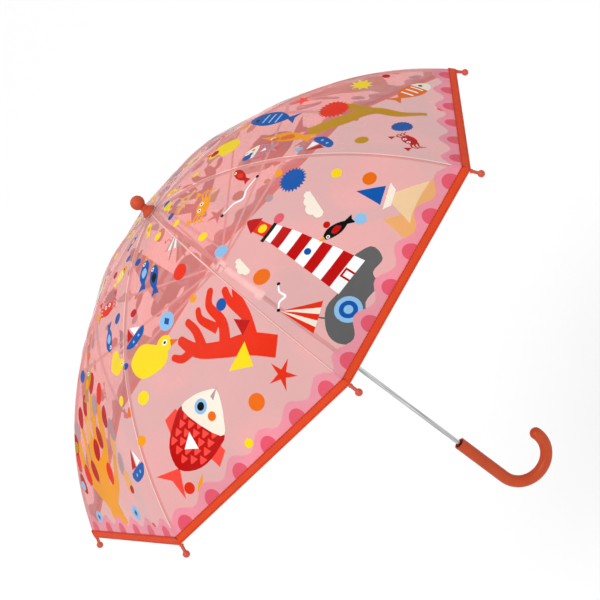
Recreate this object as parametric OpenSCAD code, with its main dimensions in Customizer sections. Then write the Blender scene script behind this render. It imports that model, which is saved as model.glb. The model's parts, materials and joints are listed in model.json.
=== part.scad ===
// Children's umbrella with a domed film canopy, shown open.
// The origin is on the shaft's axis at the middle of the straight grip, with +Z towards the ferrule.
// Eight arms stand at even angles. Each has a curved rib, a stretcher and a stretch of canopy.

/* [Canopy] */
// Radius of the rim at its corners
rim_r = 350; // [300:1:420]
// Radius of the arc that each rib follows
arch_r = 409; // [400:1:520]
// Height of the rim above the middle of the grip
rim_z = 341; // [335:1:380]
// Thickness of the film
film_t = 0.5; // [0.4:0.1:0.6]
// Width of the ribbon that binds the rim
hem_w = 10; // [6:1:14]
// Thickness of the bound rim
hem_t = 1.2; // [0.8:0.1:1.4]

/* [Arms] */
// Number of arms
arms = 8; // [8:1:8]
// Radius of a rib's wire
rib_r = 1.3; // [1.2:0.1:1.4]
// Radius of a stretcher's wire
stretcher_r = 1.2; // [1:0.1:1.3]
// Radius of the ball on a rib's tip
tip_ball_r = 4; // [3.5:0.1:4.2]
// Distance from the rim to the middle of that ball
tip_reach = 12; // [10:1:14]
// Angle that the arms turn through when the umbrella closes
swing = 59; // [50:1:59]

/* [Shaft] */
// Outer radius of the shaft
shaft_r = 2.8; // [2.8:0.1:3.1]
// Wall of the shaft tube
shaft_wall = 0.5; // [0.4:0.1:0.6]
// Distance of the runner's pivots below the crown's pivots when open
runner_drop = 100; // [90:1:104]
// Length of the runner below its pivots
runner_len = 65; // [55:1:66]
// Outer radius of the runner's sleeve
sleeve_r = 5.3; // [5:0.1:5.4]

/* [Handle] */
// Radius of the handle
grip_r = 7.8; // [7:0.1:9]
// Length of the straight grip
grip_len = 78; // [70:1:84]
// Radius of the hook's centreline
hook_r = 34; // [28:1:38]
// Angle that the hook turns through
hook_turn = 185; // [150:1:190]
// Radius of the hollow at the top of the grip
mouth_r = 6.2; // [5.5:0.1:6.4]
// Depth of that hollow
mouth_depth = 12; // [6:1:16]

/* [Ferrule] */
// Radius of the ferrule's ball
ferrule_ball_r = 8.5; // [7:0.1:10]
// Radius of the ferrule's neck
ferrule_neck_r = 4.8; // [4.4:0.1:6]
// Radius of the ferrule's foot
ferrule_foot_r = 9; // [8:0.1:10]
// Height of the ferrule
ferrule_h = 26.5; // [24:0.5:32]

/* [Hidden] */
$fn = 64;
over = 0.1; // how far a cutting solid runs past a face
fit = 0.02; // radial play of a pressed piece
running = 0.08; // radial play of a turning or sliding piece
pitch = 360 / arms;
pivot_r = 7.5; // radius at which the arms are pivoted, at the crown and at the runner
wire_r = 0.6; // radius of the pivot wires
eye_r = 1.5; // outer radius of an arm's flat eye
eye_t = 1.7; // thickness of that eye
eye_bore_r = 0.75;
slot_w = 2.2; // width of a notch for an eye
notch_r = 5.6; // radius at which the notches end
collar_r = 10.2; // outer radius of the notched collars
rib_flat = 11; // length of a rib's flattened end
stretcher_flat = 16; // length of a stretcher's flattened ends
flat_lap = 3; // how far an arm's wire runs into its flattened end

// A rib starts level at its crown pivot and bends down along its arc
dome_angle = asin((rim_r - pivot_r) / arch_r);
crown_z = rim_z + arch_r * (1 - cos(dome_angle));
// The rib's clip carries the stretcher's pin this far inside the rib
clip_drop = 4.4;
clip_angle = acos((arch_r - runner_drop / 2) / (arch_r - clip_drop));
pin_x = pivot_r + (arch_r - clip_drop) * sin(clip_angle);
link_len = norm([pin_x - pivot_r, runner_drop / 2]);
link_angle = asin(runner_drop / 2 / link_len);
travel = 2 * link_len * (sin(link_angle + swing) - sin(link_angle));
runner_z = crown_z - runner_drop;

pin_r = 0.7; // radius of a stretcher's pin
cheek_t = 1.1; // thickness of each cheek of a clip
cheek_gap = eye_t + 0.3;
cheek_len = 4;
cheek_edge = 1.8; // depth of a cheek below its pin's axis
clip_len = 8;
clip_r = 1.9; // outer radius of the clip round its rib
clip_play = 0.05; // space between a clip and its rib

tip_gap = 0.3; // space between the bound rim and a rib's tip
tip_neck_r = 1.9;
tip_collar_r = 2.4;
tip_collar_len = 2;
tip_play = 0.1; // space between a tip and its rib
rib_short = 5; // distance from a rib's end to the middle of the ball on it

film_gap = 1; // space between a rib and the film over it
film_r = arch_r + rib_r + film_gap;
seam_gap = 0.15; // half the space between two neighbouring stretches of canopy
film_start = 5; // distance of the film's inner edge from the crown pivots, along the arc
film_steps = 14;
hem_steps = 2;
hem_angle = hem_w / arch_r * 180 / PI;
start_angle = film_start / arch_r * 180 / PI;

crown_top = 1.3; // height of the crown above its pivots
crown_low = 5; // depth of the crown below its pivots
hub_r = 5.2; // outer radius of the crown's sleeve
hub_len = 14; // length of that sleeve below the pivots
washer_t = 0.6;
washer_r = 11;
washer_gap = 0.3; // space between the film and the washer
washer_z = crown_z + rib_r + film_gap + film_t + washer_gap;
ferrule_z = washer_z + washer_t;
socket_len = 13; // depth of the shaft's seat in the ferrule
foot_t = 1.6; // height of the straight edge of the ferrule's foot
flare_h = 5;
plug_len = 66; // length of the shaft inside the grip

bore_r = shaft_r + running;
ring_top = 3.5; // height of the runner's collar above its pivots
ring_low = 5; // depth of that collar below its pivots
foot_r = 8.3; // radius of the runner's thumb collar
foot_h = 6;
window_w = 3;
window_h = 13;
window_drop = 36; // distance from the runner's pivots to the top of its window

catch_azimuth = 67.5; // between two arms
catch_w = 1.6;
catch_len = 20;
catch_out = 2.3; // how far a catch stands out of the shaft
catch_leaf = 0.8; // thickness of a catch's spring leaf
catch_in = 1.4; // distance of the leaf from the axis
catch_slot_w = 2.2;
catch_slot_len = 24;
catch_slot_past = 2; // how far that slot runs past the catch's flat side
catch_blunt = 1; // height of the nose's blunt end
catch_play = 0.4;
bottom_catch_play = 1; // rise of the closed runner before its catch stops it
top_catch_z = runner_z - runner_len - catch_play;
bottom_catch_z = runner_z - window_drop - window_h - travel + bottom_catch_play;
stop_r = 1.2;
stop_len = 11;
stop_gap = 0.3; // space between the open runner and the stop pin
stop_z = runner_z + ring_top + stop_r + stop_gap;

arm_names = ["rib", "rib_tip", "rib_clip", "stretcher", "canopy_panel", "rim_binding"];

film = [0.96, 0.72, 0.73, 0.6];
ribbon = [0.88, 0.27, 0.15];
plastic = [0.82, 0.29, 0.18];
steel = [0.75, 0.76, 0.78];
milky = [0.88, 0.9, 0.88, 0.8];
coral = [0.92, 0.45, 0.38];

// Puts an arm's children at the arm's place round the shaft
module at_arm(k) {
    rotate([0, 0, (k - 1) * pitch]) children();
}

// Stands children in the arm's own plane, with their Y axis along +Z
module in_arm_plane() {
    rotate([90, 0, 0]) children();
}

// Moves children from the rib's first point to the point at an angle along its arc,
// and turns their X axis along the rib, outwards
module along_rib(angle) {
    translate([pivot_r + arch_r * sin(angle), 0, crown_z - arch_r * (1 - cos(angle))])
        rotate([0, angle, 0])
            children();
}

// A ring of round wire round the shaft
module wire_ring(radius, wire) {
    rotate_extrude() translate([radius, 0]) circle(wire);
}

// The flat end of an arm: an eye at the origin and a bar along +X
module flat_end(bore, length) {
    in_arm_plane() difference() {
        union() {
            cylinder(h = eye_t, r = eye_r, center = true);
            translate([0, -eye_r, -eye_t / 2]) cube([length, 2 * eye_r, eye_t]);
        }
        cylinder(h = eye_t + 2 * over, r = bore, center = true);
    }
}

// A notched plastic collar with its pivots at height 0
module notched_collar(top, low) {
    difference() {
        translate([0, 0, -low]) cylinder(h = top + low, r = collar_r);
        for (k = [1:arms])
            at_arm(k)
                translate([notch_r, -slot_w / 2, -low - over])
                    cube([collar_r, slot_w, top + low + 2 * over]);
        wire_ring(pivot_r, wire_r + fit);
    }
}

module shaft_tube() {
    low = grip_len / 2 - plug_len;
    high = ferrule_z + socket_len;
    color(steel) difference() {
        translate([0, 0, low]) cylinder(h = high - low, r = shaft_r);
        translate([0, 0, low - over])
            cylinder(h = high - low + 2 * over, r = shaft_r - shaft_wall);
        for (z = [top_catch_z - catch_slot_len + catch_slot_past, bottom_catch_z - catch_slot_past])
            rotate([0, 0, catch_azimuth])
                translate([0, -catch_slot_w / 2, z])
                    cube([shaft_r + over, catch_slot_w, catch_slot_len]);
        translate([0, 0, stop_z])
            rotate([0, 0, catch_azimuth])
                rotate([0, 90, 0])
                    cylinder(h = 2 * (shaft_r + over), r = stop_r + fit, center = true);
    }
}

module handle() {
    color(plastic) difference() {
        union() {
            translate([0, 0, -grip_len / 2]) cylinder(h = grip_len, r = grip_r);
            translate([hook_r, 0, -grip_len / 2]) in_arm_plane() {
                rotate([0, 0, 180])
                    rotate_extrude(angle = hook_turn) translate([hook_r, 0]) circle(grip_r);
                rotate([0, 0, 180 + hook_turn]) translate([hook_r, 0, 0]) sphere(grip_r);
            }
        }
        translate([0, 0, grip_len / 2 - plug_len])
            cylinder(h = plug_len + over, r = shaft_r + fit);
        translate([0, 0, grip_len / 2 - mouth_depth])
            cylinder(h = mouth_depth + over, r = mouth_r);
    }
}

module ferrule() {
    color(plastic) translate([0, 0, ferrule_z]) difference() {
        union() {
            cylinder(h = foot_t, r = ferrule_foot_r);
            translate([0, 0, foot_t]) cylinder(h = flare_h, r1 = ferrule_foot_r, r2 = ferrule_neck_r);
            cylinder(h = ferrule_h - ferrule_ball_r, r = ferrule_neck_r);
            translate([0, 0, ferrule_h - ferrule_ball_r]) sphere(ferrule_ball_r);
        }
        translate([0, 0, -over]) cylinder(h = socket_len + over, r = shaft_r + fit);
    }
}

module top_washer() {
    color(milky) translate([0, 0, washer_z]) difference() {
        cylinder(h = washer_t, r = washer_r);
        translate([0, 0, -over]) cylinder(h = washer_t + 2 * over, r = shaft_r + fit);
    }
}

module crown() {
    color(milky) translate([0, 0, crown_z]) difference() {
        union() {
            notched_collar(crown_top, crown_low);
            translate([0, 0, -hub_len]) cylinder(h = hub_len + crown_top, r = hub_r);
        }
        translate([0, 0, -hub_len - over])
            cylinder(h = hub_len + crown_top + 2 * over, r = shaft_r + fit);
    }
}

module crown_wire() {
    color(steel) translate([0, 0, crown_z]) wire_ring(pivot_r, wire_r);
}

module stop_pin() {
    color(steel) translate([0, 0, stop_z])
        rotate([0, 0, catch_azimuth])
            rotate([0, 90, 0])
                cylinder(h = stop_len, r = stop_r, center = true);
}

// A sprung catch: a leaf inside the shaft, with a nose whose flat side is at height 0
module catch() {
    nose_len = catch_len * 0.6;
    color(steel) rotate([0, 0, catch_azimuth])
        translate([0, catch_w / 2, 0])
            in_arm_plane()
                linear_extrude(catch_w)
                    polygon([
                        [catch_in, 0],
                        [shaft_r + catch_out, 0],
                        [shaft_r + catch_out, -catch_blunt],
                        [catch_in + catch_leaf, -nose_len],
                        [catch_in + catch_leaf, -catch_len],
                        [catch_in, -catch_len]
                    ]);
}

// Its flat side is up, and carries the open runner
module top_catch() {
    translate([0, 0, top_catch_z]) catch();
}

// Its flat side is down, and keeps the closed runner from rising
module bottom_catch() {
    translate([0, 0, bottom_catch_z]) mirror([0, 0, 1]) catch();
}

module runner() {
    color(milky) translate([0, 0, runner_z]) difference() {
        union() {
            notched_collar(ring_top, ring_low);
            translate([0, 0, -runner_len]) cylinder(h = runner_len + ring_top, r = sleeve_r);
            translate([0, 0, -runner_len]) cylinder(h = foot_h, r = foot_r);
            translate([0, 0, foot_h - runner_len])
                cylinder(h = foot_r - sleeve_r, r1 = foot_r, r2 = sleeve_r);
        }
        translate([0, 0, -runner_len - over])
            cylinder(h = runner_len + ring_top + 2 * over, r = bore_r);
        rotate([0, 0, catch_azimuth])
            translate([0, -window_w / 2, -window_drop - window_h])
                cube([foot_r + over, window_w, window_h]);
    }
}

// The runner's pivot wire, held in the collar's teeth and left out at its notches
module runner_wire() {
    color(steel) translate([0, 0, runner_z]) difference() {
        wire_ring(pivot_r, wire_r);
        for (k = [1:arms])
            at_arm(k)
                translate([0, -slot_w / 2, -2 * wire_r])
                    cube([collar_r, slot_w, 4 * wire_r]);
    }
}

module rib(k) {
    first = (rib_flat - flat_lap) / arch_r * 180 / PI;
    last = (tip_reach - rib_short) / arch_r * 180 / PI;
    color(steel) at_arm(k) {
        translate([pivot_r, 0, crown_z]) flat_end(eye_bore_r, rib_flat);
        translate([pivot_r, 0, crown_z - arch_r])
            in_arm_plane()
                rotate([0, 0, 90 - dome_angle - last])
                    rotate_extrude(angle = dome_angle + last - first)
                        translate([arch_r, 0])
                            circle(rib_r);
    }
}

module rib_tip(k) {
    color(coral) at_arm(k) along_rib(dome_angle) difference() {
        union() {
            translate([tip_gap, 0, 0]) rotate([0, 90, 0]) {
                cylinder(h = tip_reach - tip_gap, r = tip_neck_r);
                cylinder(h = tip_collar_len, r = tip_collar_r);
            }
            translate([tip_reach, 0, 0]) sphere(tip_ball_r);
        }
        rotate([0, 90, 0]) cylinder(h = tip_reach - rib_short + over, r = rib_r + tip_play);
    }
}

// A plastic clip round the rib, with two cheeks that hold the stretcher's pin
module rib_clip(k) {
    cheek_h = clip_drop + cheek_edge;
    width = cheek_gap + 2 * cheek_t;
    color(milky) at_arm(k) along_rib(clip_angle) {
        difference() {
            union() {
                rotate([0, 90, 0]) cylinder(h = clip_len, r = clip_r, center = true);
                translate([-cheek_len / 2, -width / 2, -cheek_h]) cube([cheek_len, width, cheek_h]);
            }
            rotate([0, 90, 0])
                cylinder(h = clip_len + 2 * over, r = rib_r + clip_play, center = true);
            translate([-cheek_len / 2 - over, -cheek_gap / 2, -cheek_h - over])
                cube([cheek_len + 2 * over, cheek_gap, cheek_h - clip_r + over]);
        }
        translate([0, 0, -clip_drop])
            rotate([90, 0, 0])
                cylinder(h = cheek_gap + over, r = pin_r, center = true);
    }
}

module stretcher(k) {
    wire_from = stretcher_flat - flat_lap;
    color(steel) at_arm(k)
        translate([pivot_r, 0, runner_z])
            rotate([0, -link_angle, 0]) {
                flat_end(eye_bore_r, stretcher_flat);
                translate([link_len, 0, 0])
                    mirror([1, 0, 0])
                        flat_end(pin_r + running, stretcher_flat);
                translate([wire_from, 0, 0])
                    rotate([0, 90, 0])
                        cylinder(h = link_len - 2 * wire_from, r = stretcher_r);
            }
}

// A point of the canopy: an angle along the rib, the surface's radius in the rib's plane,
// and a side of -1, 0 or 1 for the middle of the panel before, the rib, or the panel after
function canopy_point(angle, radius, side) =
    let (
        r = pivot_r + radius * sin(angle),
        z = crown_z - arch_r + radius * cos(angle),
        half = r * sin(pitch / 2) - seam_gap
    )
    [r - abs(side) * half * sin(pitch / 2), side * half * cos(pitch / 2), z];

module canopy_strip(from, to, steps, inner, outer) {
    rows = [for (i = [0:steps]) from + (to - from) * i / steps];
    points = [
        for (angle = rows)
            for (place = [[inner, -1], [inner, 0], [inner, 1], [outer, 1], [outer, 0], [outer, -1]])
                canopy_point(angle, place[0], place[1])
    ];
    ring = 6;
    sides = [
        for (i = [0:steps - 1])
            for (j = [0:ring - 1])
                let (a = i * ring + j, b = i * ring + (j + 1) % ring)
                    each [[a, b, a + ring], [b, b + ring, a + ring]]
    ];
    first_cap = [[0, 4, 1], [0, 5, 4], [1, 3, 2], [1, 4, 3]];
    last_cap = [for (face = first_cap) [for (p = [2, 1, 0]) face[p] + steps * ring]];
    polyhedron(points, concat(sides, first_cap, last_cap));
}

module canopy_panel(k) {
    color(film) at_arm(k)
        canopy_strip(start_angle, dome_angle - hem_angle, film_steps, film_r, film_r + film_t);
}

module rim_binding(k) {
    inner = film_r - (hem_t - film_t) / 2;
    gap = seam_gap / arch_r * 180 / PI;
    color(ribbon) at_arm(k)
        canopy_strip(dome_angle - hem_angle + gap, dome_angle, hem_steps, inner, inner + hem_t);
}

shaft_tube();
handle();
ferrule();
top_washer();
crown();
crown_wire();
stop_pin();
top_catch();
bottom_catch();
runner();
runner_wire();
for (k = [1:arms]) {
    rib(k);
    rib_tip(k);
    rib_clip(k);
    stretcher(k);
    canopy_panel(k);
    rim_binding(k);
}
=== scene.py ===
"""A child's umbrella: printed film canopy, bound rim, ribs, runner and hook handle."""

import json
import math

import bpy
from mathutils import Matrix, Vector, noise
from mathutils.geometry import delaunay_2d_cdt


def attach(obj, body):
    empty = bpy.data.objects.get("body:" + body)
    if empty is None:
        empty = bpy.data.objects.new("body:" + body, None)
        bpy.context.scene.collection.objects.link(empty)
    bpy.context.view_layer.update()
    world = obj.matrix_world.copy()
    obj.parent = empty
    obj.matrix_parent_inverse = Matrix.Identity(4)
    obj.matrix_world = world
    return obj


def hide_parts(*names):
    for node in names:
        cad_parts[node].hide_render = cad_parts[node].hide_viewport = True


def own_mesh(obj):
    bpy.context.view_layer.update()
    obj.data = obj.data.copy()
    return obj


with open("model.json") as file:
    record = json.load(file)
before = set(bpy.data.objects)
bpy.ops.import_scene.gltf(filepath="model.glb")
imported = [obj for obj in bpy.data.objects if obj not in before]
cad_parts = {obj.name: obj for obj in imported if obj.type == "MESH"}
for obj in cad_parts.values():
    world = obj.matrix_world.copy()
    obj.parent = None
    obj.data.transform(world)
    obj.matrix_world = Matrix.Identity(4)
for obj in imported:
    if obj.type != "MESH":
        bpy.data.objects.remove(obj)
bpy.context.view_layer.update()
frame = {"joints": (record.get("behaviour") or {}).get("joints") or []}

MM = 0.001
ARMS = 8
PITCH = 2 * math.pi / ARMS
HALF = PITCH / 2
JOINTS = {j["name"]: j for j in frame["joints"]}
PIVOT = Vector(JOINTS["rib_1_fold"]["pos_m"])
PIVOT_R = PIVOT.x

# The canopy, in metres. Its film follows an arc just outside the ribs' own. Distances down
# a gore, called s, run along that arc from the shaft's axis.
ARCH_R = 0.409
FILM_R = ARCH_R + 0.0025
RIM_R = 0.350
DOME_ANGLE = math.asin((RIM_R - PIVOT_R) / ARCH_R)
RIM_S = PIVOT_R + FILM_R * DOME_ANGLE
TOP_S = 0.0052  # the film's hole under the ferrule
HEM_W = 0.0094  # width of the ribbon on each face of the film
RIM_Z = PIVOT.z - ARCH_R * (1 - math.cos(DOME_ANGLE))


# ---------------------------------------------------------------- colours and materials


def linear(r, g, b):
    """A screen colour, 0 to 255, as linear light."""
    return tuple(
        c / 12.92 if c <= 0.04045 else ((c + 0.055) / 1.055) ** 2.4
        for c in (v / 255 for v in (r, g, b))
    )


class Shader:
    """A Principled material whose colour, roughness and relief come from noise nodes."""

    def __init__(self, name, colour, alpha=1.0, **sockets):
        self.material = bpy.data.materials.new(name)
        self.material.use_nodes = True
        self.tree = self.material.node_tree
        self.colour = colour
        self.surface = self.tree.nodes["Principled BSDF"]
        self.surface.inputs["Base Color"].default_value = (*colour, 1)
        self.surface.inputs["Alpha"].default_value = alpha
        for key, value in sockets.items():
            self.surface.inputs[key.replace("_", " ")].default_value = value
        coordinates = self.tree.nodes.new("ShaderNodeTexCoord")
        self.place = coordinates.outputs["Object"]
        self.normal = None

    def node(self, kind, **values):
        made = self.tree.nodes.new(kind)
        for key, value in values.items():
            setattr(made, key, value)
        return made

    def link(self, a, b):
        self.tree.links.new(a, b)

    def stretched(self, x, y, z):
        """Object coordinates scaled along each axis."""
        mapping = self.node("ShaderNodeMapping")
        mapping.inputs["Scale"].default_value = (x, y, z)
        self.link(self.place, mapping.inputs["Vector"])
        return mapping.outputs["Vector"]

    def noise(self, scale, detail=3.0, at=None, roughness=0.55):
        made = self.node("ShaderNodeTexNoise")
        made.inputs["Scale"].default_value = scale
        made.inputs["Detail"].default_value = detail
        made.inputs["Roughness"].default_value = roughness
        self.link(at or self.place, made.inputs["Vector"])
        return made.outputs["Fac"]

    def creases(self, scale, width):
        """Lines where a coarse noise passes its middle, as in film once folded."""
        level = self.noise(scale, 1.5)
        away = self.node("ShaderNodeMath", operation="SUBTRACT")
        away.inputs[1].default_value = 0.5
        self.link(level, away.inputs[0])
        size = self.node("ShaderNodeMath", operation="ABSOLUTE")
        self.link(away.outputs[0], size.inputs[0])
        return self.ranged(size.outputs[0], 1.0, 0.0, 0.0, width)

    def ranged(self, value, low, high, start=0.3, end=0.7):
        made = self.node("ShaderNodeMapRange")
        made.inputs["From Min"].default_value = start
        made.inputs["From Max"].default_value = end
        made.inputs["To Min"].default_value = low
        made.inputs["To Max"].default_value = high
        self.link(value, made.inputs["Value"])
        return made.outputs["Result"]

    def tint(self, value, amount, other=None):
        """Moves the colour towards another one, or a darker one, by up to an amount."""
        mix = self.node("ShaderNodeMix", data_type="RGBA")
        old = self.surface.inputs["Base Color"]
        if old.links:
            self.link(old.links[0].from_socket, mix.inputs["A"])
        else:
            mix.inputs["A"].default_value = old.default_value
        dark = other or tuple(0.6 * c for c in self.colour)
        mix.inputs["B"].default_value = (*dark, 1)
        self.link(self.ranged(value, 0.0, amount), mix.inputs["Factor"])
        self.link(mix.outputs["Result"], old)
        return self

    def rough(self, value, low, high):
        self.link(self.ranged(value, low, high), self.surface.inputs["Roughness"])
        return self

    def relief(self, value, depth, strength=1.0):
        bump = self.node("ShaderNodeBump")
        bump.inputs["Distance"].default_value = depth
        bump.inputs["Strength"].default_value = strength
        self.link(value, bump.inputs["Height"])
        if self.normal:
            self.link(self.normal, bump.inputs["Normal"])
        self.normal = bump.outputs["Normal"]
        self.link(self.normal, self.surface.inputs["Normal"])
        return self


GLARE = 0.03  # white light that every glossy surface adds


def film(name, rgb, alpha, dim=1.0):
    """Printed film: glossy, with soft dents, ink mottle and orange peel, broad patches of painted
    shade and painted shade along its folds.
    """
    # dim darkens the colour evenly; the print's inner faces use it as painted shade.
    colour = tuple(dim * max(c - GLARE, 0.002) for c in linear(*rgb))
    s = Shader(name, colour, alpha, IOR=1.18)
    # The coarse stretched noise darkens broad patches: painted shade of the film's soft dents.
    s.tint(s.noise(7, 2, s.stretched(1, 1, 0.7)), 0.3).tint(s.noise(26), 0.12)
    s.tint(s.noise(420, 2), 0.06)
    # Painted shade along the film's folds: a greyed colour, stronger where the film is clearer.
    fold_shade = tuple(0.55 * c + 0.075 * sum(colour) for c in colour)
    s.tint(s.creases(5.5, 0.1), 1.9 * (1 - alpha), fold_shade)
    s.rough(s.noise(35, 4), 0.12, 0.3)
    s.relief(s.noise(38, 2), 0.0012, 0.6).relief(s.creases(13, 0.03), 0.0003, 0.6)
    s.relief(s.noise(900, 1), 0.00003, 0.4)
    return s.material


def moulded(name, rgb, rough=(0.32, 0.46), alpha=1.0, **sockets):
    """Moulded plastic: a satin skin with faint flow marks, scuffs and grain."""
    s = Shader(name, linear(*rgb), alpha, **sockets)
    s.tint(s.noise(45), 0.28).tint(s.noise(420, 2), 0.16)
    s.rough(s.noise(90, 5), *rough)
    scuffs = s.noise(160, 6, s.stretched(1, 1, 0.2), 0.7)
    s.relief(scuffs, 0.00006, 0.5).relief(s.noise(1600, 1), 0.00002, 0.4)
    return s.material


def metal(name, rgb, rough=(0.22, 0.4), metallic=1.0, streaks_and_reflection=0.12):
    """Drawn steel: fine lines along the piece and faint dull patches; strong dark lines are painted
    reflection.
    """
    s = Shader(name, linear(*rgb), Metallic=metallic)
    lines = s.noise(900, 3, s.stretched(1, 1, 0.02))
    # Dark lines along the piece: drawing marks when faint, painted dark reflections when strong.
    s.tint(s.noise(60, 5), 0.2).tint(lines, streaks_and_reflection, (0.12, 0.12, 0.12))
    s.rough(s.noise(110, 5), *rough)
    s.relief(lines, 0.00002, 0.6)
    return s.material


def woven(name, rgb, thread=0.0007):
    """Ribbon: crossing threads with a slight slub."""
    s = Shader(name, linear(*rgb), IOR=1.25)
    for i, direction in enumerate(("X", "Y", "Z")):
        wave = s.node("ShaderNodeTexWave", bands_direction=direction)
        wave.inputs["Scale"].default_value = 0.314 / thread
        wave.inputs["Distortion"].default_value = 0.4
        s.link(s.place, wave.inputs["Vector"])
        s.relief(wave.outputs["Fac"], 0.00010, 0.5)
        s.tint(wave.outputs["Fac"], 0.10)
    s.tint(s.noise(70, 4), 0.22)
    s.rough(s.noise(120, 4), 0.5, 0.72)
    return s.material


FILM_ALPHA = 0.74
INK_ALPHA = 0.96
INKS = {
    "film": ((227, 137, 133), FILM_ALPHA),
    "wave": ((255, 154, 172), 0.80),
    "disc": ((238, 98, 118), 0.92),
    "red": ((196, 24, 42), INK_ALPHA),
    "vermilion": ((236, 66, 30), INK_ALPHA),
    "coral": ((255, 88, 78), INK_ALPHA),
    "orange": ((240, 118, 26), INK_ALPHA),
    "gold": ((250, 164, 24), INK_ALPHA),
    "yellow": ((255, 222, 6), INK_ALPHA),
    "olive": ((200, 150, 40), INK_ALPHA),
    "blue": ((12, 98, 176), INK_ALPHA),
    "sky": ((150, 200, 240), 0.92),
    "grey": ((108, 108, 108), INK_ALPHA),
    "cream": ((255, 243, 226), 0.93),
    "sand": ((250, 212, 166), 0.92),
    "peach": ((246, 180, 118), 0.92),
    "white": ((255, 255, 255), INK_ALPHA),
    "black": ((14, 12, 16), INK_ALPHA),
    "mauve": ((198, 160, 165), 0.85),
    "seam": ((248, 204, 198), 0.86),
}
INK_NAMES = list(INKS)
PLAIN_INKS = ("film", "seam")
# The inks' inner faces, seen from under the canopy, are darker copies of the inks: painted shade.
INK_BACK_SHADE = 0.42
ink_materials = [film(f"film_{name}", *INKS[name]) for name in INK_NAMES]
shaded_ink_backs = [film(f"back_{name}", *INKS[name], INK_BACK_SHADE) for name in INK_NAMES]


# ---------------------------------------------------------------- motifs
# A motif is a list of (outline, ink), drawn in millimetres with +x right and +y up,
# where up is towards the ferrule. Later outlines lie on top of earlier ones.


def disc(x, y, r, ry=None, n=28):
    """A disc, or an oval where ry is given."""
    ry = ry or r
    return [
        (x + r * math.cos(a), y + ry * math.sin(a))
        for a in (2 * math.pi * i / n for i in range(n))
    ]


def toothed(x, y, r, teeth, depth=0.12, ry=None):
    """A disc with a sawtooth edge."""
    squash = (ry or r) / r
    points = []
    for i in range(2 * teeth):
        a, s = math.pi * i / teeth, r * (1 - depth * (i % 2))
        points.append((x + s * math.cos(a), y + squash * s * math.sin(a)))
    return points


def star(x, y, r, arms=5, waist=0.38, turn=0.0):
    """A star whose inner corners lie at a share of its radius."""
    points = []
    for i in range(2 * arms):
        a, s = turn + math.pi * (0.5 + i / arms), r * (1 if i % 2 == 0 else waist)
        points.append((x + s * math.cos(a), y + s * math.sin(a)))
    return points


def smooth(points, steps=6, closed=False):
    """A curve through the points (Catmull-Rom)."""
    n, out = len(points), []
    for i in range(n if closed else n - 1):
        p = [
            points[j % n] if closed else points[min(max(j, 0), n - 1)]
            for j in (i - 1, i, i + 1, i + 2)
        ]
        for k in range(steps):
            t = k / steps
            out.append(
                tuple(
                    0.5
                    * (
                        2 * p[1][c]
                        + (p[2][c] - p[0][c]) * t
                        + (2 * p[0][c] - 5 * p[1][c] + 4 * p[2][c] - p[3][c]) * t * t
                        + (3 * p[1][c] - p[0][c] - 3 * p[2][c] + p[3][c]) * t**3
                    )
                    for c in range(len(points[0]))
                )
            )
    if not closed:
        out.append(tuple(points[-1]))
    return out


def stroke(points, tip_round=True, steps=6):
    """The outline of a line through (x, y, width) points."""
    line = smooth(points, steps)
    left, right = [], []
    for i, (x, y, w) in enumerate(line):
        a, b = line[max(i - 1, 0)], line[min(i + 1, len(line) - 1)]
        dx, dy = b[0] - a[0], b[1] - a[1]
        size = math.hypot(dx, dy) or 1
        nx, ny = -dy / size * w / 2, dx / size * w / 2
        left.append((x + nx, y + ny))
        right.append((x - nx, y - ny))
    if not tip_round:
        return left + right[::-1]
    (ax, ay, _), (x, y, w) = line[-2], line[-1]
    heading = math.atan2(y - ay, x - ax)
    cap = [
        (x + w / 2 * math.cos(heading + t), y + w / 2 * math.sin(heading + t))
        for t in (math.pi * (0.5 - k / 8) for k in range(1, 8))
    ]
    return left + cap + right[::-1]


def turned(shapes, x, y, turn=0.0, size=1.0):
    """Shapes moved to (x, y), turned anticlockwise in degrees and scaled."""
    c, s = math.cos(math.radians(turn)) * size, math.sin(math.radians(turn)) * size
    return [
        ([(x + px * c - py * s, y + px * s + py * c) for px, py in outline], ink)
        for outline, ink in shapes
    ]


def lighthouse():
    """A banded tower with a lantern on top, 152 tall, standing on (0, 0)."""
    base, top, height, bands = 46, 20, 118, 9

    def half(y):
        return (base + (top - base) * y / height) / 2

    shapes = []
    for i in range(bands):
        a, b = height * i / bands, height * (i + 1) / bands
        shapes.append(
            (
                [(-half(a), a), (half(a), a), (half(b), b), (-half(b), b)],
                "white" if i % 2 == 0 else "red",
            )
        )
    gallery = half(height) + 4
    shapes += [
        ([(-gallery, 114), (gallery, 114), (gallery, 119), (-gallery, 119)], "black"),
        ([(-8, 119), (8, 119), (8, 137), (-8, 137)], "vermilion"),
        (disc(0, 128, 5.5), "yellow"),
        (smooth([(-11, 137), (0, 152), (11, 137)], 5), "red"),
        ([(-6, 0), (6, 0), (6, 12), (-6, 12)], "red"),
        ([(-3.5, 0), (3.5, 0), (3.5, 9.5), (-3.5, 9.5)], "white"),
        (disc(0, 60, 4), "blue"),
    ]
    return shapes


def rock():
    """A low rounded rock with a target on it, 110 long."""
    outline = [(-52, 8), (-28, 20), (-2, 14), (24, 22), (52, 6), (44, -12), (26, -9)]
    outline += [(14, -20), (-8, -16), (-26, -27), (-52, -24), (-60, -8)]
    return [
        (smooth(outline, 4, True), "grey"),
        (disc(-22, -3, 15), "sky"),
        (disc(-22, -3, 10), "blue"),
        (disc(-22, -3, 5), "sky"),
    ]


def parasol(ink="vermilion"):
    """A striped beach parasol on a pole, with its point up."""
    spread, height, stripes = 40, 44, 5
    shapes = [([(-1, -24), (1, -24), (1, 2), (-1, 2)], "grey")]
    for i in range(stripes):
        a, b = (spread * (t / stripes - 0.5) for t in (i, i + 1))
        shapes.append(([(0, height), (a, 0), (b, 0)], "cream" if i % 2 else ink))
    return shapes


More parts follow.
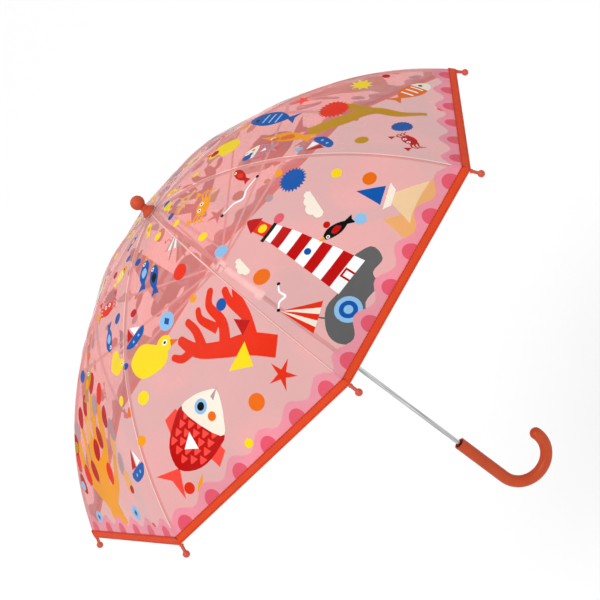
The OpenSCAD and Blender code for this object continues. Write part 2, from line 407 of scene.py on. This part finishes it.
def cloud(length=44):
    """A flat-bottomed cloud of four puffs."""
    puffs = [(-0.34, 0.06, 0.14), (-0.12, 0.12, 0.2), (0.14, 0.08, 0.17), (0.36, 0.03, 0.11)]
    base = [(-0.5, 0.02), (-0.4, -0.08), (0.42, -0.08), (0.5, 0.02), (0, 0.12)]
    shapes = [([(x * length, y * length) for x, y in base], "cream")]
    for x, y, r in puffs:
        shapes.append((disc(x * length, y * length, r * length, n=18), "cream"))
    return shapes


def gull(span=40):
    """A gull as one bent line with dark wing tips."""
    wing = [(-span / 2, 6, 1.6), (-span / 5, 5, 2.4), (0, -2, 3), (span / 5, 5, 2.4)]
    return [
        (stroke(wing + [(span / 2, 6, 1.6)]), "white"),
        (disc(-span / 2, 6, 2.2, n=12), "black"),
        (disc(span / 2, 6, 2.2, n=12), "black"),
    ]


def dunes():
    """Two pointed dunes with a toy boat behind them, 100 wide."""
    return [
        ([(-40, -34), (-14, 10), (10, -34)], "peach"),
        ([(-22, -34), (14, 16), (46, -34)], "sand"),
        (smooth([(-46, -30), (0, -20), (50, -32), (48, -44), (-44, -44)], 4, True), "peach"),
        ([(2, 18), (26, 18), (14, 50)], "blue"),
        ([(-3, 14), (31, 14), (24, 6), (4, 6)], "cream"),
    ]


def coral_branch(ink="vermilion"):
    """A thick branching sea plant growing to the upper left from (0, 0)."""
    trunk = [(6, -14, 24), (-26, 2, 24), (-60, 10, 19), (-92, 22, 16), (-112, 42, 11)]
    limbs = [
        [(-22, 0, 20), (-20, 30, 14), (-26, 62, 11), (-18, 82, 9)],
        [(-21, 34, 13), (-36, 56, 10), (-40, 70, 9)],
        [(-56, 10, 16), (-52, 38, 13), (-64, 62, 10), (-60, 78, 9)],
        [(-60, 34, 12), (-78, 52, 9), (-80, 64, 8)],
        [(-84, 18, 14), (-88, 42, 11), (-98, 58, 9)],
        [(-96, 26, 12), (-114, 22, 10), (-126, 28, 8)],
    ]
    return [(stroke(line), ink) for line in [trunk] + limbs]


def scaled_fish(body="red", scales="coral"):
    """A round fish with triangular scales, heading right, about 110 long."""
    back = [(-46, 0), (-30, 24), (0, 34), (20, 29)]
    belly = smooth(back + [(20, -29), (0, -34), (-30, -24)], 4, True)
    shapes = [
        ([(-44, 0), (-70, 24), (-62, 2), (-72, -22)], scales),
        ([(-20, 26), (-8, 46), (10, 40), (10, 28)], scales),
        ([(-14, -28), (-18, -44), (2, -42), (6, -30)], scales),
        (belly, body),
    ]
    step = 11
    for row in range(-2, 3):
        for column in range(5):
            x = -34 + step * (column + (0.5 if row % 2 else 0))
            y = step * row
            inside = x <= 12 and math.hypot((x + 8) / 36, y / 30) <= 0.95
            if inside:
                shapes.append((smooth([(x + 5, y + 5), (x - 4, y), (x + 5, y - 5)], 4), scales))
    head = [(14, 30), (34, 26), (52, 8), (56, 0), (50, -10), (34, -24), (14, -30)]
    shapes += [
        (smooth(head, 4, True), "cream"),
        ([(44, -3), (60, 1), (46, 3)], "mauve"),
        (disc(30, 9, 9), "sky"),
        (disc(30, 9, 5), "black"),
        (disc(28, -10, 5.5), "orange"),
        ([(-22, 4), (-2, 8), (-12, -12)], "white"),
    ]
    return shapes


def small_fish(body="gold", face="cream", stripes="white"):
    """A plain leaf-shaped fish heading right, 60 long."""
    shapes = [
        ([(-24, 0), (-40, 12), (-36, 0), (-40, -12)], body),
        (smooth([(-28, 0), (-10, 13), (10, 13), (28, 0), (10, -13), (-10, -13)], 5, True), body),
        (smooth([(10, 13), (21, 9), (28, 0), (21, -9), (10, -13)], 4), face),
        (disc(16, 3, 2.8), "black"),
    ]
    for x in (-14, -5, 4):
        shapes.append(([(x, -9), (x + 2.4, -9), (x + 2.4, 9), (x, 9)], stripes))
    return shapes


def leaf_tree(trunk="gold"):
    """A tree of upright branches with oval leaves, standing on (0, 0), 170 tall."""
    branches = [
        [(8, -8, 40), (0, 30, 34), (-4, 60, 28), (-12, 92, 18), (-18, 124, 11)],
        [(-2, 48, 24), (20, 74, 18), (30, 100, 14), (32, 130, 10)],
        [(-2, 20, 24), (-32, 44, 18), (-48, 70, 14), (-54, 100, 10)],
        [(-6, 72, 20), (6, 104, 14), (8, 144, 10)],
        [(6, 24, 24), (36, 44, 16), (50, 70, 11)],
        [(-34, 50, 14), (-28, 76, 12), (-36, 112, 9)],
        [(22, 80, 12), (12, 104, 9), (18, 122, 8)],
    ]
    shapes = [(stroke(line), trunk) for line in branches]
    leaves = [(-18, 138), (34, 144), (-54, 112), (8, 160), (54, 84), (-36, 126), (-66, 78)]
    leaves += [(18, 134), (46, 116), (-6, 128), (-22, 62), (22, 54), (66, 60), (-64, 98)]
    leaves += [(-16, 108), (16, 96), (-46, 60), (60, 100), (-70, 52), (72, 40), (0, 84)]
    inks = ("red", "vermilion", "mauve", "red", "peach")
    for i, (x, y) in enumerate(leaves):
        shapes.append((disc(x, y, 7.5, 13, 20), inks[i % 5]))
    return shapes


def driftwood():
    """A forked branch lying across, 130 long."""
    trunk = [(-60, -12, 22), (-20, -6, 19), (14, 2, 15), (40, -12, 11), (66, -16, 7)]
    fork = [(12, 3, 13), (-10, 20, 16), (-34, 26, 20)]
    return [(stroke(line, tip_round=False), "olive") for line in (trunk, fork)]


def crab(body="red"):
    """A crab with six legs and two claws, 50 wide."""
    shapes = [(disc(0, 0, 13, 9), body)]
    for side in (-1, 1):
        for y in (4, -1, -6):
            leg = [(side * 10, y, 2.6), (side * 18, y + 3, 2.2), (side * 23, y - 3, 1.4)]
            shapes.append((stroke(leg), body))
        shapes.append((star(side * 19, 14, 6, 3, 0.5, side), body))
        shapes.append((disc(side * 4.5, 4, 2.6, n=14), "white"))
        shapes.append((disc(side * 4.5, 4, 1.3, n=10), "black"))
    return shapes


def duckling():
    """A duckling facing right, 66 long."""
    return [
        (smooth([(-24, 4), (-10, 20), (10, 14), (26, 4), (20, -12), (-10, -16)], 5, True), "yellow"),
        (disc(22, 10, 10), "yellow"),
        ([(30, 13), (42, 9), (31, 5)], "orange"),
        (disc(23, 12, 3.2, n=14), "white"),
        (disc(23, 12, 1.7, n=12), "black"),
    ]


def bird(body="blue", wing="sky"):
    """A plain gliding bird heading right, about 60 long."""
    return [
        ([(-20, 3), (-36, 10), (-34, 0), (-38, -8), (-20, -4)], body),
        (smooth([(-26, 0), (-8, 11), (14, 10), (26, 2), (12, -10), (-10, -9)], 5, True), body),
        (smooth([(-12, 2), (2, 8), (8, 0), (-4, -6)], 4, True), wing),
        ([(23, 6), (36, 2), (23, -2)], "gold"),
        (disc(17, 4, 3.6, n=14), "white"),
        (disc(17, 4, 1.8, n=12), "black"),
    ]


def boat():
    """A small sailing boat, 52 long."""
    return [
        (smooth([(-26, 4), (26, 4), (16, -12), (-16, -12)], 3, True), "blue"),
        ([(-2, 6), (-2, 34), (-20, 8)], "red"),
        ([(2, 6), (2, 30), (20, 8)], "white"),
        (disc(-8, -4, 2.6, n=12), "sky"),
        (disc(8, -4, 2.6, n=12), "sky"),
    ]


def spot(r, ink, centre=None):
    """A dot, with a diamond in it where a centre ink is given."""
    shapes = [(disc(0, 0, r), ink)]
    if centre:
        shapes.append(([(-r * 0.4, 0), (0, -r * 0.5), (r * 0.4, 0), (0, r * 0.5)], centre))
    return shapes


def spots(*places):
    """Dots given as (distance down the gore, side, radius, ink)."""
    return [(spot(r, ink), s, u, 0, 1) for s, u, r, ink in places]


# Each gore's print: (motif, distance from the ferrule, distance to the right, turn, size)
LIGHTHOUSE_GORE = [
    (dunes(), 366, 58, 12, 0.95),
    (rock(), 372, -42, 4, 1.0),
    (lighthouse(), 362, -30, -8, 1.0),
    (parasol(), 352, -84, 14, 0.95),
    (cloud(), 280, 32, 58, 0.9),
    (cloud(36), 240, -60, 66, 0.8),
    (gull(34), 306, -78, 30, 0.9),
    ([(toothed(0, 0, 17, 22, 0.2), "blue")], 238, 52, 0, 1),
    (gull(58), 184, 18, -18, 1),
    (crab("gold"), 131, 0, 20, 1.05),
    (bird("red", "vermilion"), 160, 46, 70, 0.5),
    (bird("black", "red"), 318, 12, 150, 0.62),
    (coral_branch("peach"), 92, 20, 10, 0.26),
    (small_fish("yellow", "blue", "gold"), 48, 3, 60, 0.42),
    *spots((249, 4, 6.5, "disc"), (270, -66, 10, "orange"), (337, 34, 7, "sky")),
    *spots((323, 80, 8, "orange"), (285, 73, 6, "yellow"), (200, -50, 8, "sky")),
    *spots((162, -38, 6, "yellow"), (76, -14, 5, "blue"), (222, 24, 5, "mauve")),
    *spots((306, 14, 4, "red"), (100, -24, 5, "yellow"), (214, 56, 5, "gold")),
]
CORAL_GORE = [
    (coral_branch(), 318, 96, -18, 1.0),
    (scaled_fish(), 340, -38, 22, 0.95),
    (duckling(), 230, -46, -22, 1.1),
    ([(star(0, 0, 18, 5, 0.3), "vermilion")], 360, 84, 10, 1),
    ([([(-18, 10), (18, 10), (2, -14)], "yellow")], 318, 56, 20, 1),
    ([([(-9, -6), (9, -9), (3, 13)], "red")], 286, 76, 30, 1),
    ([(stroke([(-16, 0, 1), (0, 6, 7), (16, 0, 1)]), "gold")], 392, -68, 60, 1),
    (bird(), 116, -12, 70, 0.72),
    (bird("blue", "black"), 140, 2, 78, 0.72),
    (parasol("mauve"), 128, 36, -30, 0.6),
    (boat(), 190, -50, 14, 0.6),
    (bird("yellow", "gold"), 44, 2, 80, 0.42),
    *spots((362, 42, 9.5, "orange"), (262, -72, 8, "yellow"), (249, 68, 7, "blue")),
    *spots((379, -82, 6.5, "vermilion"), (300, -100, 6, "gold"), (170, 38, 10, "vermilion")),
    *spots((214, 40, 5, "gold"), (158, -42, 5, "red"), (388, 6, 5, "yellow")),
    *spots((88, -20, 5, "blue"), (78, 16, 6, "yellow"), (212, -76, 4, "blue")),
    (spot(11, "sky", "blue"), 207, -4, 0, 1),
]
TREE_GORE = [
    (leaf_tree(), 392, -22, 6, 1.05),
    (spot(9, "sky", "blue"), 380, 44, 0, 1),
    (spot(8, "sky", "blue"), 388, -86, 0, 1),
    (crab("vermilion"), 134, -8, 20, 1.0),
    (bird("blue", "sky"), 176, 22, -60, 0.7),
    (small_fish("yellow", "gold", "cream"), 92, 10, 50, 0.5),
    (bird("blue", "yellow"), 44, 1, 70, 0.4),
    (bird("olive", "gold"), 224, -44, 70, 0.7),
    (boat(), 330, 88, 20, 0.8),
    (duckling(), 206, 52, -30, 0.7),
    *spots((150, 34, 7, "blue"), (250, 70, 6, "yellow"), (214, -62, 8, "blue")),
    *spots((300, -100, 7, "olive"), (348, -104, 6, "sky"), (264, 92, 6, "orange")),
    *spots((142, -30, 5, "gold"), (90, -10, 5, "red"), (70, 12, 5, "blue")),
    *spots((396, 84, 5, "vermilion"), (352, 54, 5, "red"), (190, -44, 5, "orange")),
]
DRIFT_GORE = [
    (driftwood(), 300, -4, -80, 1.1),
    (small_fish("orange", "cream", "white"), 362, 58, -40, 1.0),
    (crab(), 352, -80, 30, 0.9),
    ([(toothed(0, 0, 20, 22, 0.2), "vermilion")], 267, 16, 0, 1),
    ([(toothed(0, 0, 13, 18), "blue")], 345, -42, 0, 1),
    (small_fish("blue", "blue", "sky"), 186, 40, 60, 1.05),
    (duckling(), 130, 12, 60, 0.85),
    (bird("gold", "orange"), 210, -24, 60, 1.0),
    (scaled_fish("mauve", "disc"), 178, -40, 70, 0.4),
    (bird("yellow", "gold"), 42, -4, 60, 0.42),
    ([(star(0, 0, 12), "coral")], 228, 62, 0, 1),
    ([(star(0, 0, 15, 9, 0.6), "yellow")], 300, 78, 0, 1),
    (boat(), 254, -62, 30, 0.7),
    *spots((299, -72, 8, "olive"), (226, -66, 5, "sky"), (392, 12, 5, "coral")),
    *spots((330, 100, 5, "red"), (196, -22, 5, "orange"), (110, 16, 6, "red")),
    *spots((84, -10, 5, "yellow"), (152, 46, 5, "gold"), (160, -44, 6, "blue")),
]
# The gore between arm 1 and arm 2 comes first
PRINTS = [TREE_GORE, CORAL_GORE, LIGHTHOUSE_GORE, DRIFT_GORE]
PRINTS = PRINTS + [TREE_GORE, CORAL_GORE, LIGHTHOUSE_GORE, DRIFT_GORE]


def border(half):
    """The light wave and the half discs along a gore's rim, as (s, u) outlines in mm."""
    count, edge = 6, RIM_S / MM
    depth, swell, past_edge, disc_depth = 25, 6, 5, 11
    step = 2 * half / count
    outer = half + step
    crest = [
        (edge - depth + swell * math.cos(2 * math.pi * u / step), u)
        for u in (-outer + i * step / 10 for i in range(10 * count + 21))
    ]
    wave = [(edge + past_edge, -outer)] + crest + [(edge + past_edge, outer)]
    discs = [
        [
            (edge - disc_depth - y, -half + step * (i + 0.5) + x)
            for x, y in disc(0, 0, 9.5, 11)
        ]
        for i in range(count)
    ]
    return [(wave, "wave")] + [(d, "disc") for d in discs]


# ---------------------------------------------------------------- the canopy's surface


def arc_angle(s):
    return max(s - PIVOT_R, 0.0) / FILM_R


def rib_radius(s):
    """Distance from the shaft's axis of a point on a rib line, s along it from the axis."""
    return min(s, PIVOT_R) + FILM_R * math.sin(arc_angle(s))


def half_width(s):
    """Half of a flat gore's width at s."""
    return rib_radius(s) * math.sin(HALF)


def surface_point(s, u, gore, lift=0.0):
    """A point of the canopy: s down the gore, u to its right, lift outwards, all in metres.

    A gore is flat from side to side, and the lift's direction turns only near its ribs.
    """
    a, turn = arc_angle(s), (gore + 0.5) * PITCH
    radius = rib_radius(s)
    across = min(abs(u) / max(half_width(s), 1e-6), 1.0) ** 6
    side = math.copysign(HALF * across, u)
    out = Vector((math.sin(a) * math.cos(turn + side), math.sin(a) * math.sin(turn + side), 0))
    normal = (out + Vector((0, 0, math.cos(a)))).normalized()
    middle = radius * math.cos(HALF)
    z = PIVOT.z - ARCH_R + FILM_R * math.cos(a)
    point = Vector(
        (
            middle * math.cos(turn) - u * math.sin(turn),
            middle * math.sin(turn) + u * math.cos(turn),
            z,
        )
    )
    return point + lift * normal


RIPPLE = 0.0032


def ripple(s, u, gore):
    """Faint waves in the stretched film, none at the ribs, the rim or the ferrule."""
    t = min(abs(u) / half_width(s), 1.0)
    down = (s - TOP_S) / (RIM_S - TOP_S)
    calm = (1 - t**4) * min(1.0, 8 * (1 - down)) * min(1.0, 5 * down)
    wave = noise.noise(Vector((s * 16, u * 9, gore * 7.3)))
    wave += 0.5 * noise.noise(Vector((s * 30, u * 34, 40 + gore * 3.1)))
    return RIPPLE * calm * wave


FILM_END_S = RIM_S - 0.0015  # the film's own edge, inside the folded ribbon
ROW_COUNT = 64
ROWS = [TOP_S + (FILM_END_S - TOP_S) * i / ROW_COUNT for i in range(ROW_COUNT + 1)]
COLUMNS = [i / 9 for i in range(-9, 10)]
SEAM_W = 0.7  # mm, half of the welded seam over a rib


def ccw(outline):
    """The outline in anticlockwise order."""
    area = sum(
        a[0] * b[1] - b[0] * a[1] for a, b in zip(outline, outline[1:] + outline[:1])
    )
    return outline if area > 0 else outline[::-1]


def printed_gore(design):
    """Cuts a flat gore along its print: [(x, y) in mm], [triangles], [ink of each triangle]."""
    points, edges, faces, inks = [], [], [], []

    def add_face(outline, ink):
        first = len(points)
        outline = ccw(outline)
        points.extend(outline)
        faces.append(list(range(first, first + len(outline))))
        inks.append(INK_NAMES.index(ink))

    rows = [s / MM for s in ROWS]
    widths = [half_width(s) / MM for s in ROWS]
    right = list(zip(rows, widths))
    left = [(s, -w) for s, w in right]
    add_face(right + left[::-1], "film")
    for side in (-1, 1):
        seam = [(s, side * w) for s, w in right]
        seam += [(s, side * max(w - SEAM_W, 0.3 * w)) for s, w in right[::-1]]
        add_face(seam, "seam")
    for shapes, s, u, turn, size in design:
        for outline, ink in turned(shapes, 0, 0, turn, size):
            add_face([(s - y, u + x) for x, y in outline], ink)
    for outline, ink in border(half_width(RIM_S) / MM):
        add_face(outline, ink)
    for i, s in enumerate(rows[1:-1], 1):
        first = len(points)
        points.extend([(s, -widths[i]), (s, widths[i])])
        edges.append((first, first + 1))
    for t in COLUMNS[1:-1]:
        first = len(points)
        points.extend([(s, t * w) for s, w in right])
        edges.extend((first + i, first + i + 1) for i in range(len(rows) - 1))
    verts, _, triangles, _, _, origins = delaunay_2d_cdt(
        [Vector(p) for p in points], edges, faces, 1, 1e-4, True
    )
    kept = [(t, max(o)) for t, o in zip(triangles, origins) if 0 in o]
    return [tuple(v) for v in verts], [t for t, _ in kept], [inks[o] for _, o in kept]


def new_object(name, verts, faces, materials, indices=None):
    """A smooth-shaded mesh object."""
    mesh = bpy.data.meshes.new(name)
    mesh.from_pydata(verts, [], faces)
    for m in materials:
        mesh.materials.append(m)
    if indices:
        mesh.polygons.foreach_set("material_index", indices)
    mesh.shade_smooth()
    mesh.update()
    made = bpy.data.objects.new(name, mesh)
    bpy.context.scene.collection.objects.link(made)
    return made


INK_DEPTH = 0.00015  # depth of the inks' inner faces below the film


def folds_with(piece, arm):
    """Moves a piece with its rib, on a mesh of its own."""
    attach(piece, f"rib_{arm}")
    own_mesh(piece)


def add_triangle(mesh, used, places, triangle, ink):
    """Adds a triangle to (points, faces, inks), sharing the points that are already there."""
    for i in triangle:
        if i not in used:
            used[i] = len(mesh[0])
            mesh[0].append(places[i])
    mesh[1].append([used[i] for i in triangle])
    mesh[2].append(ink)


def film_wings():
    """The film round each rib, from the middle of one gore to the middle of the next."""
    wings = {arm: ([], [], [], [0.0]) for arm in range(1, ARMS + 1)}
    prints = {arm: ([], [], []) for arm in range(1, ARMS + 1)}
    cut = {id(design): printed_gore(design) for design in PRINTS}
    for gore, design in enumerate(PRINTS):
        flat, triangles, inks = cut[id(design)]
        lifts = [ripple(x * MM, y * MM, gore) for x, y in flat]
        places = [surface_point(x * MM, y * MM, gore, h) for (x, y), h in zip(flat, lifts)]
        below = [
            surface_point(x * MM, y * MM, gore, h - INK_DEPTH) for (x, y), h in zip(flat, lifts)
        ]
        for arm, side in ((gore + 1, -1), ((gore + 1) % ARMS + 1, 1)):
            area = wings[arm][3]
            used, under = {}, {}
            for tri, ink in zip(triangles, inks):
                if side * sum(flat[i][1] for i in tri) <= 0:
                    continue
                a, b, c = (flat[i] for i in tri)
                area[0] += abs((b[0] - a[0]) * (c[1] - a[1]) - (c[0] - a[0]) * (b[1] - a[1])) / 2
                add_triangle(wings[arm], used, places, (tri[0], tri[2], tri[1]), ink)
                if INK_NAMES[ink] not in PLAIN_INKS:
                    add_triangle(prints[arm], under, below, tri, ink)
    made = {}
    for arm, (verts, faces, indices, area) in wings.items():
        wing = new_object(f"canopy_film_{arm}", verts, faces, ink_materials, indices)
        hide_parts(f"canopy_panel_{arm}")
        folds_with(wing, arm)
        verts, faces, indices = prints[arm]
        inner = new_object(f"print_back_{arm}", verts, faces, shaded_ink_backs, indices)
        folds_with(inner, arm)
        made[arm] = (wing, inner, area[0] * MM * MM)
    return made


# ---------------------------------------------------------------- the bound rim

RIBBON_SKIN = 0.0004  # lift past which the ribbon's section is its outer face
PUCKER = 0.00024
STITCH_PITCH = 0.0038
STITCH_LIFT = 0.00066
# The row near the outer fold, in dark thread, is real double stitching and partly painted shade
# under the fold.
STITCH_ROWS = (0.0009, 0.0082)  # distances of the stitching from the ribbon's inner edge


def rim_stations(arm, step):
    """(gore, u) along the rim from the middle of one gore, round the arm's corner, to the next."""
    width = half_width(RIM_S)
    count = round(width / step)
    before, after = (arm - 2) % ARMS, arm - 1
    return [(before, width * i / count) for i in range(count + 1)] + [
        (after, -width * (1 - i / count)) for i in range(1, count + 1)
    ]


def ribbon_profile():
    """The folded ribbon's section, once round it, as (distance past the rim, lift)."""
    outer = [(-HEM_W, 0.0005), (-0.7 * HEM_W, 0.00062), (-0.35 * HEM_W, 0.0007)]
    outer += [(-0.0012, 0.00066), (0.0, 0.0005), (0.0005, 0.0002)]
    inner = [(-HEM_W, 0.00022), (-0.5 * HEM_W, 0.0003), (-0.0016, 0.0003)]
    far_side = [(past, -lift) for past, lift in outer[::-1] + inner]
    return outer + far_side + [(-0.0002, 0.0)] + inner[::-1]


def binding(arm):
    """The ribbon folded over the film's edge, lightly puckered by its stitches."""
    section = ribbon_profile()
    stations = rim_stations(arm, STITCH_PITCH / 2)
    verts, faces, n = [], [], len(section)
    for i, (gore, u) in enumerate(stations):
        slack = noise.noise(Vector((u * 90, gore * 5.1, 2.0)))
        for past, lift in section:
            puff = PUCKER * slack if abs(lift) > RIBBON_SKIN else 0.0
            lift += math.copysign(puff, lift)
            verts.append(surface_point(RIM_S + past, u, gore, lift))
    last = len(verts) - n
    for a in range(last):
        b = a + 1 if (a + 1) % n else a + 1 - n
        faces.append((a, b, b + n, a + n))
    verts += verts[:n] + verts[last:]
    faces.append(tuple(range(last + n, last + 2 * n))[::-1])
    faces.append(tuple(range(last + 2 * n, last + 3 * n)))
    return new_object(f"binding_{arm}", verts, faces, [ribbon_red])


def stitching(arm):
    """Two rows of short thread stitches on both faces of the ribbon; the dark thread of the row near
    the outer fold is partly painted shade under the fold.
    """
    verts, faces = [], []
    width = half_width(RIM_S)
    count = int(width / STITCH_PITCH)
    # In mm: the thread's section as (up, side), and its size along the stitch
    ring = [(0.0, -0.32), (0.24, 0.0), (0.0, 0.32), (-0.24, 0.0)]
    profile = ((-1.4, 0.2), (-0.9, 1.0), (0.9, 1.0), (1.4, 0.2))
    sides = (((arm - 2) % ARMS, 0.0), (arm - 1, -width))
    for gore, start in sides:
        for i in range(count):
            middle = start + width * (i + 0.5) / count
            for row in STITCH_ROWS:
                for face in (1, -1):
                    first = len(verts)
                    for along, size in profile:
                        for up, side in ring:
                            s = RIM_S - HEM_W + row + side * size * MM
                            lift = face * (STITCH_LIFT + up * size * MM)
                            verts.append(surface_point(s, middle + along * MM, gore, lift))
                    for k in range(len(profile) - 1):
                        for j in range(len(ring)):
                            a, b = first + 4 * k + j, first + 4 * k + (j + 1) % 4
                            faces.append((a, b, b + 4, a + 4)[::face])
    return new_object(f"stitching_{arm}", verts, faces, [thread_and_fold_shade])


# ---------------------------------------------------------------- camera, light and floor


def aim_camera():
    """A long lens from a little above the rim, with the umbrella leaning to the upper left.

    Returns the direction from the umbrella to the camera.
    """
    elevation, azimuth, roll = (math.radians(v) for v in (18.26, 2.34, -53.03))
    distance, aside, lift = 1.943, 0.030, 0.0065
    back = Vector(
        (
            math.sin(azimuth) * math.cos(elevation),
            -math.cos(azimuth) * math.cos(elevation),
            math.sin(elevation),
        )
    )
    level = Vector((math.cos(azimuth), math.sin(azimuth), 0))
    upright = back.cross(level)
    right = math.cos(roll) * level + math.sin(roll) * upright
    up = back.cross(right)
    data = bpy.data.cameras.new("camera")
    data.sensor_width = 36
    data.angle = math.radians(20.8402)
    data.clip_end = 300
    camera = bpy.data.objects.new("camera", data)
    bpy.context.scene.collection.objects.link(camera)
    place = Vector((0, 0, RIM_Z)) + distance * back + aside * right + lift * up
    turn = Matrix((right, up, back)).transposed().to_4x4()
    camera.matrix_world = Matrix.Translation(place) @ turn
    bpy.context.scene.camera = camera
    return back


def soft_sun(name, direction, strength, spread):
    """A broad, even light that shines along a direction."""
    data = bpy.data.lights.new(name, "SUN")
    data.energy = strength
    data.angle = math.radians(spread)
    lamp = bpy.data.objects.new(name, data)
    bpy.context.scene.collection.objects.link(lamp)
    lamp.rotation_euler = direction.to_track_quat("-Z", "Y").to_euler()
    return lamp


def gathered(name, pieces):
    """A collection of pieces, for a light to be linked to."""
    group = bpy.data.collections.new(name)
    for piece in pieces:
        group.objects.link(piece)
    return group


def light_runner(back):
    """Light from the front on the runner alone, so its milky plastic shows through the film."""
    runner = gathered("runner_only", [bpy.data.objects["runner"]])
    lamp = soft_sun("runner_light", -(back + 0.3 * Vector((0, 0, 1))), 4.2, 40)
    lamp.light_linking.receiver_collection = runner
    lamp.light_linking.blocker_collection = runner


def glow_through(pieces):
    """Soft light from below on the film alone, for the daylight that its far side lets in."""
    height = -0.2
    data = bpy.data.lights.new("under_canopy", "AREA")
    data.shape = "DISK"
    data.size = 1.2
    data.energy = 29
    data.color = (0.42, 0.95, 1.0)
    lamp = bpy.data.objects.new("under_canopy", data)
    bpy.context.scene.collection.objects.link(lamp)
    lamp.matrix_world = Matrix.Translation((0, 0, height)) @ Matrix.Rotation(math.pi, 4, "X")
    lamp.visible_camera = False
    lamp.visible_glossy = False
    lamp.light_linking.receiver_collection = gathered("lit_from_below", pieces)


def studio(back):
    """Even white surroundings, a soft key from behind the camera and a weaker top light."""
    world = bpy.data.worlds.new("studio")
    world.use_nodes = True
    world.node_tree.nodes["Background"].inputs["Color"].default_value = (1, 1, 1, 1)
    world.node_tree.nodes["Background"].inputs["Strength"].default_value = 0.52
    bpy.context.scene.world = world
    side = Vector((0, 0, 1)).cross(back)
    key = -(back + 0.55 * Vector((0, 0, 1)) - 0.35 * side)
    soft_sun("key", key, 1.55, 24)
    soft_sun("top", Vector((0.1, -0.25, -1)), 0.85, 60)
    bpy.context.scene.view_settings.view_transform = "Standard"


def floor():
    """A pale floor at the height of a small child's feet."""
    reach, depth = 80.0, -0.85
    corners = [(x, y, depth) for x, y in ((-1, -1), (1, -1), (1, 1), (-1, 1))]
    corners = [(x * reach, y * reach, z) for x, y, z in corners]
    s = Shader("floor_paper", (0.93, 0.93, 0.93))
    s.tint(s.noise(3), 0.02, (0.9, 0.9, 0.9)).rough(s.noise(8), 0.7, 0.85)
    made = new_object("floor", corners, [(0, 1, 2, 3)], [s.material])


# ---------------------------------------------------------------- finishes of the CAD pieces


def finish_nodes():
    plastic = moulded("handle_satin", (190, 72, 34), (0.32, 0.5), IOR=1.3)
    ferrule = moulded("ferrule_satin", (206, 82, 50), (0.34, 0.5), IOR=1.3)
    milky = moulded("milky_clear", (250, 252, 251), (0.12, 0.24), 0.86, IOR=1.58)
    clear = moulded("water_clear", (250, 240, 236), (0.1, 0.2), 0.35, IOR=1.2)
    tips = moulded("tip_coral", (205, 80, 60), (0.2, 0.34), 0.96, IOR=1.4)
    # The zinc's strong dark lines along the shaft are painted reflection, as seen on chrome.
    zinc = metal("bright_zinc", (236, 237, 240), (0.14, 0.3), streaks_and_reflection=0.85)
    wire = metal("plain_wire", (176, 178, 182), (0.3, 0.5))
    enamel = metal("pale_enamel", (228, 222, 222), (0.25, 0.42), metallic=0.35)
    finishes = {
        "handle": plastic,
        "ferrule": ferrule,
        "top_washer": clear,
        "crown": milky,
        "runner": milky,
        "shaft_tube": zinc,
        "crown_wire": wire,
        "runner_wire": wire,
        "stop_pin": wire,
        "top_catch": wire,
        "bottom_catch": wire,
    }
    for arm in range(1, ARMS + 1):
        finishes[f"rib_{arm}"] = enamel
        finishes[f"stretcher_{arm}"] = enamel
        finishes[f"rib_tip_{arm}"] = tips
        finishes[f"rib_clip_{arm}"] = milky
    for node, material in finishes.items():
        shown = bpy.data.objects[node]
        for held in shown.material_slots:
            held.material = material


back = aim_camera()
studio(back)
light_runner(back)
floor()
finish_nodes()

ribbon_red = woven("ribbon_red", (224, 70, 30))
thread_and_fold_shade = woven("thread_and_fold_shade", (168, 50, 32), 0.0003)
wings = film_wings()
for arm, (wing, inner, area) in wings.items():
    hem = binding(arm)
    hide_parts(f"rim_binding_{arm}")
    folds_with(hem, arm)
    sewing = stitching(arm)
    folds_with(sewing, arm)

glow_through([wing for wing, _, _ in wings.values()])
